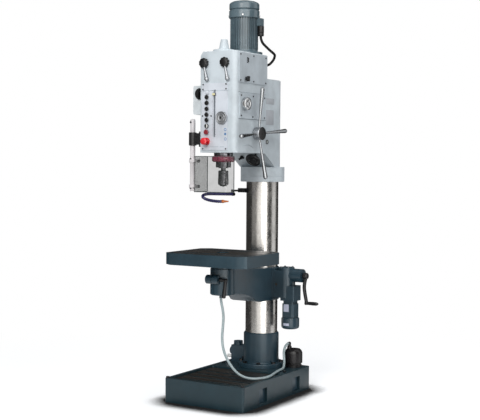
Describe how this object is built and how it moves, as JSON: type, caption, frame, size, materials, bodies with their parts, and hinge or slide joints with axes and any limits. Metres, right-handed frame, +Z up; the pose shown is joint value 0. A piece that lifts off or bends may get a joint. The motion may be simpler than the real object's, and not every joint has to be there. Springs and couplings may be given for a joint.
{
  "type": "geared pillar drill",
  "caption": "Floor-standing drill: T-slotted base, column with rack, crank-lifted turning table, geared head with capstan feed, guarded chuck and top motor.",
  "frame": {"origin": "on the floor, at the axis of the column", "axes": "+Z up, the operator stands at -Y and faces +Y, +X to the operator's right"},
  "size_m": [0.609, 0.7475, 2.149],
  "materials": {
    "blue_casting": "semi-gloss enamel on cast iron",
    "grey_casting": "light grey enamel on cast iron",
    "panel_sheet": "satin sheet",
    "ground_steel": "ground and turned steel",
    "bright_steel": "plated steel",
    "motor_paint": "grey-green motor enamel",
    "black_paint": "black enamel",
    "black_plastic": "moulded black",
    "red_plastic": "moulded red",
    "crimson_ring": "crimson coating",
    "switch_grey": "grey enamel on sheet steel",
    "clear_sheet": "clear bent sheet",
    "clear_hose": "milky flexible hose",
    "blue_hose": "jointed blue hose with an orange tip",
    "black_rubber": "rubber sheath"
  },
  "bodies": {
    "frame": {"base": "blue_casting", "fasteners": "bright_steel", "column_flange": "blue_casting", "column": "ground_steel", "column_rack": "ground_steel", "column_top_flange": "grey_casting", "head_casting": "grey_casting", "gearbox_housing": "grey_casting", "side_covers": "grey_casting", "control_panel": "panel_sheet", "motor_frame": "motor_paint", "motor_fan_cowl": "motor_paint", "motor_cable": "black_rubber", "switch_box": "switch_grey", "guard_post": "black_paint", "pump_body": "black_paint", "coolant_hose": "clear_hose", "junction_box": "blue_casting", "nozzle_bracket": "black_paint", "nozzle_hose": "blue_hose", "spindle_cap": "grey_casting"},
    "arm": {"table_arm": "blue_casting", "lift_gearbox": "blue_casting", "lift_motor": "motor_paint"},
    "quill": {"quill": "ground_steel", "quill_collar": "crimson_ring", "spindle_bearings": "ground_steel"},
    "spindle": {"spindle": "ground_steel", "chuck_body": "ground_steel"},
    "capstan": {"capstan_hub": "black_plastic", "capstan_handles": "bright_steel"},
    "lift_pinion": {"lift_pinion_shaft": "ground_steel"},
    "worm": {"worm_shaft": "ground_steel"},
    "crank": {"lift_crank": "black_paint"},
    "crank_grip": {"crank_grip": "black_plastic"},
    "table": {"work_table": "blue_casting"},
    "clamp_lever": {"table_clamp_lever": "black_paint"},
    "chuck_sleeve": {"chuck_sleeve": "black_paint"},
    "chuck_jaws": {"chuck_jaws": "ground_steel"},
    "drive_sleeve": {"drive_sleeve": "ground_steel"},
    "layshaft": {"layshaft": "ground_steel"},
    "motor_rotor": {"motor_rotor": "ground_steel"},
    "quill_pinion": {"quill_pinion_shaft": "ground_steel"},
    "handwheel": {"fine_feed_handwheel": "black_plastic"},
    "wing_screw": {"wing_screw": "black_plastic"},
    "gear_lever_left": {"gear_lever_left": "black_plastic"},
    "gear_lever_right": {"gear_lever_right": "black_plastic"},
    "feed_selector": {"feed_selector": "ground_steel"},
    "side_knob": {"side_knob": "black_plastic"},
    "depth_dial": {"depth_dial": "ground_steel"},
    "push_button_1": {"push_button_1": "black_plastic"},
    "push_button_2": {"push_button_2": "black_plastic"},
    "push_button_3": {"push_button_3": "black_plastic"},
    "push_button_4": {"push_button_4": "black_plastic"},
    "push_button_5": {"push_button_5": "black_plastic"},
    "selector_switch": {"selector_switch": "black_plastic"},
    "stop_button": {"stop_button": "red_plastic"},
    "emergency_stop": {"emergency_stop": "red_plastic"},
    "main_switch": {"main_switch": "black_plastic"},
    "guard": {"chuck_guard": "clear_sheet"}
  },
  "joints": [
    {"name": "table_lift", "type": "slide", "parent": "frame", "child": "arm", "axis": [0, 0, 1], "range_m": [-0.08, 0.25], "deforming": ["coolant_hose"]},
    {"name": "lift_pinion_turn", "type": "hinge", "parent": "arm", "child": "lift_pinion", "pos_m": [0.121, 0, 0.6], "axis": [0, 1, 0], "range_deg": [-365, 120]},
    {"name": "worm_turn", "type": "hinge", "parent": "arm", "child": "worm", "pos_m": [0.161, 0, 0.6], "axis": [0, 0, 1], "continuous": true},
    {"name": "crank_turn", "type": "hinge", "parent": "arm", "child": "crank", "pos_m": [0.25, 0, 0.651], "axis": [1, 0, 0], "continuous": true},
    {"name": "crank_grip_turn", "type": "hinge", "parent": "crank", "child": "crank_grip", "pos_m": [0.33, 0, 0.501], "axis": [1, 0, 0], "continuous": true},
    {"name": "table_turn", "type": "hinge", "parent": "arm", "child": "table", "pos_m": [0, -0.415, 0.7], "axis": [0, 0, 1], "range_deg": [-180, 180]},
    {"name": "clamp_lever_turn", "type": "hinge", "parent": "arm", "child": "clamp_lever", "pos_m": [0.02, -0.487, 0.657], "axis": [1, 0, 0], "range_deg": [-110, 5]},
    {"name": "quill_feed", "type": "slide", "parent": "frame", "child": "quill", "axis": [0, 0, -1], "range_m": [0, 0.18]},
    {"name": "quill_pinion_turn", "type": "hinge", "parent": "frame", "child": "quill_pinion", "pos_m": [0, -0.3575, 1.429], "axis": [1, 0, 0], "range_deg": [-10, 520]},
    {"name": "capstan_turn", "type": "hinge", "parent": "frame", "child": "capstan", "pos_m": [0.13, -0.275, 1.429], "axis": [1, 0, 0], "range_deg": [-520, 10]},
    {"name": "spindle_spin", "type": "hinge", "parent": "quill", "child": "spindle", "pos_m": [0, -0.415, 1.4], "axis": [0, 0, 1], "continuous": true},
    {"name": "drive_sleeve_spin", "type": "hinge", "parent": "frame", "child": "drive_sleeve", "pos_m": [0, -0.415, 1.75], "axis": [0, 0, 1], "continuous": true},
    {"name": "layshaft_spin", "type": "hinge", "parent": "frame", "child": "layshaft", "pos_m": [0, -0.311, 1.75], "axis": [0, 0, 1], "continuous": true},
    {"name": "motor_spin", "type": "hinge", "parent": "frame", "child": "motor_rotor", "pos_m": [0, -0.211, 1.95], "axis": [0, 0, 1], "continuous": true},
    {"name": "chuck_sleeve_turn", "type": "hinge", "parent": "spindle", "child": "chuck_sleeve", "pos_m": [0, -0.415, 1.17], "axis": [0, 0, 1], "range_deg": [-360, 360]},
    {"name": "chuck_jaw_slide", "type": "slide", "parent": "spindle", "child": "chuck_jaws", "axis": [0, 0, -1], "range_m": [-0.008, 0.008]},
    {"name": "handwheel_turn", "type": "hinge", "parent": "frame", "child": "handwheel", "pos_m": [0.05, -0.19, 1.288], "axis": [0, -0.7071, -0.7071], "continuous": true},
    {"name": "wing_screw_turn", "type": "hinge", "parent": "frame", "child": "wing_screw", "pos_m": [-0.046, -0.15, 1.309], "axis": [0, -0.5446, -0.8387], "range_deg": [-90, 90]},
    {"name": "gear_lever_left_turn", "type": "hinge", "parent": "frame", "child": "gear_lever_left", "pos_m": [-0.084, -0.473, 1.795], "axis": [0, -1, 0], "range_deg": [-35, 35]},
    {"name": "gear_lever_right_turn", "type": "hinge", "parent": "frame", "child": "gear_lever_right", "pos_m": [0.044, -0.473, 1.795], "axis": [0, -1, 0], "range_deg": [-35, 35]},
    {"name": "feed_selector_turn", "type": "hinge", "parent": "frame", "child": "feed_selector", "pos_m": [0.13, -0.398, 1.581], "axis": [1, 0, 0], "range_deg": [-90, 90]},
    {"name": "side_knob_turn", "type": "hinge", "parent": "frame", "child": "side_knob", "pos_m": [0.13, -0.384, 1.713], "axis": [1, 0, 0], "range_deg": [-120, 120]},
    {"name": "depth_dial_turn", "type": "hinge", "parent": "frame", "child": "depth_dial", "pos_m": [0.028, -0.48, 1.507], "axis": [0, -1, 0], "range_deg": [-180, 180]},
    {"name": "selector_switch_turn", "type": "hinge", "parent": "frame", "child": "selector_switch", "pos_m": [-0.066, -0.48, 1.465], "axis": [0, -1, 0], "range_deg": [-45, 45]},
    {"name": "emergency_stop_push", "type": "slide", "parent": "frame", "child": "emergency_stop", "axis": [0, 1, 0], "range_m": [0, 0.004]},
    {"name": "main_switch_turn", "type": "hinge", "parent": "frame", "child": "main_switch", "pos_m": [-0.16, -0.41, 1.64], "axis": [0, -1, 0], "range_deg": [0, 90]},
    {"name": "guard_swing", "type": "hinge", "parent": "frame", "child": "guard", "pos_m": [-0.179, -0.44, 1.2], "axis": [0, 0, 1], "range_deg": [-110, 0]},
    {"name": "push_button_1_push", "type": "slide", "parent": "frame", "child": "push_button_1", "axis": [0, 1, 0], "range_m": [0, 0.004], "stiffness_N_per_m": 500},
    {"name": "push_button_2_push", "type": "slide", "parent": "frame", "child": "push_button_2", "axis": [0, 1, 0], "range_m": [0, 0.004], "stiffness_N_per_m": 500},
    {"name": "push_button_3_push", "type": "slide", "parent": "frame", "child": "push_button_3", "axis": [0, 1, 0], "range_m": [0, 0.004], "stiffness_N_per_m": 500},
    {"name": "push_button_4_push", "type": "slide", "parent": "frame", "child": "push_button_4", "axis": [0, 1, 0], "range_m": [0, 0.004], "stiffness_N_per_m": 500},
    {"name": "push_button_5_push", "type": "slide", "parent": "frame", "child": "push_button_5", "axis": [0, 1, 0], "range_m": [0, 0.004], "stiffness_N_per_m": 500},
    {"name": "stop_button_push", "type": "slide", "parent": "frame", "child": "stop_button", "axis": [0, 1, 0], "range_m": [0, 0.004], "stiffness_N_per_m": 500}
  ],
  "couplings": [
    {"joint": "lift_pinion_turn", "follows": "table_lift", "rad_per_m": -25},
    {"joint": "worm_turn", "follows": "table_lift", "rad_per_m": 675},
    {"joint": "crank_turn", "follows": "table_lift", "rad_per_m": 675},
    {"joint": "quill_pinion_turn", "follows": "quill_feed", "rad_per_m": 50},
    {"joint": "capstan_turn", "follows": "quill_feed", "rad_per_m": -50},
    {"joint": "drive_sleeve_spin", "follows": "spindle_spin", "ratio": 1},
    {"joint": "layshaft_spin", "follows": "spindle_spin", "ratio": -0.625},
    {"joint": "motor_spin", "follows": "spindle_spin", "ratio": 2.2159},
    {"joint": "chuck_jaw_slide", "follows": "chuck_sleeve_turn", "m_per_rad": 0.0012}
  ]
}
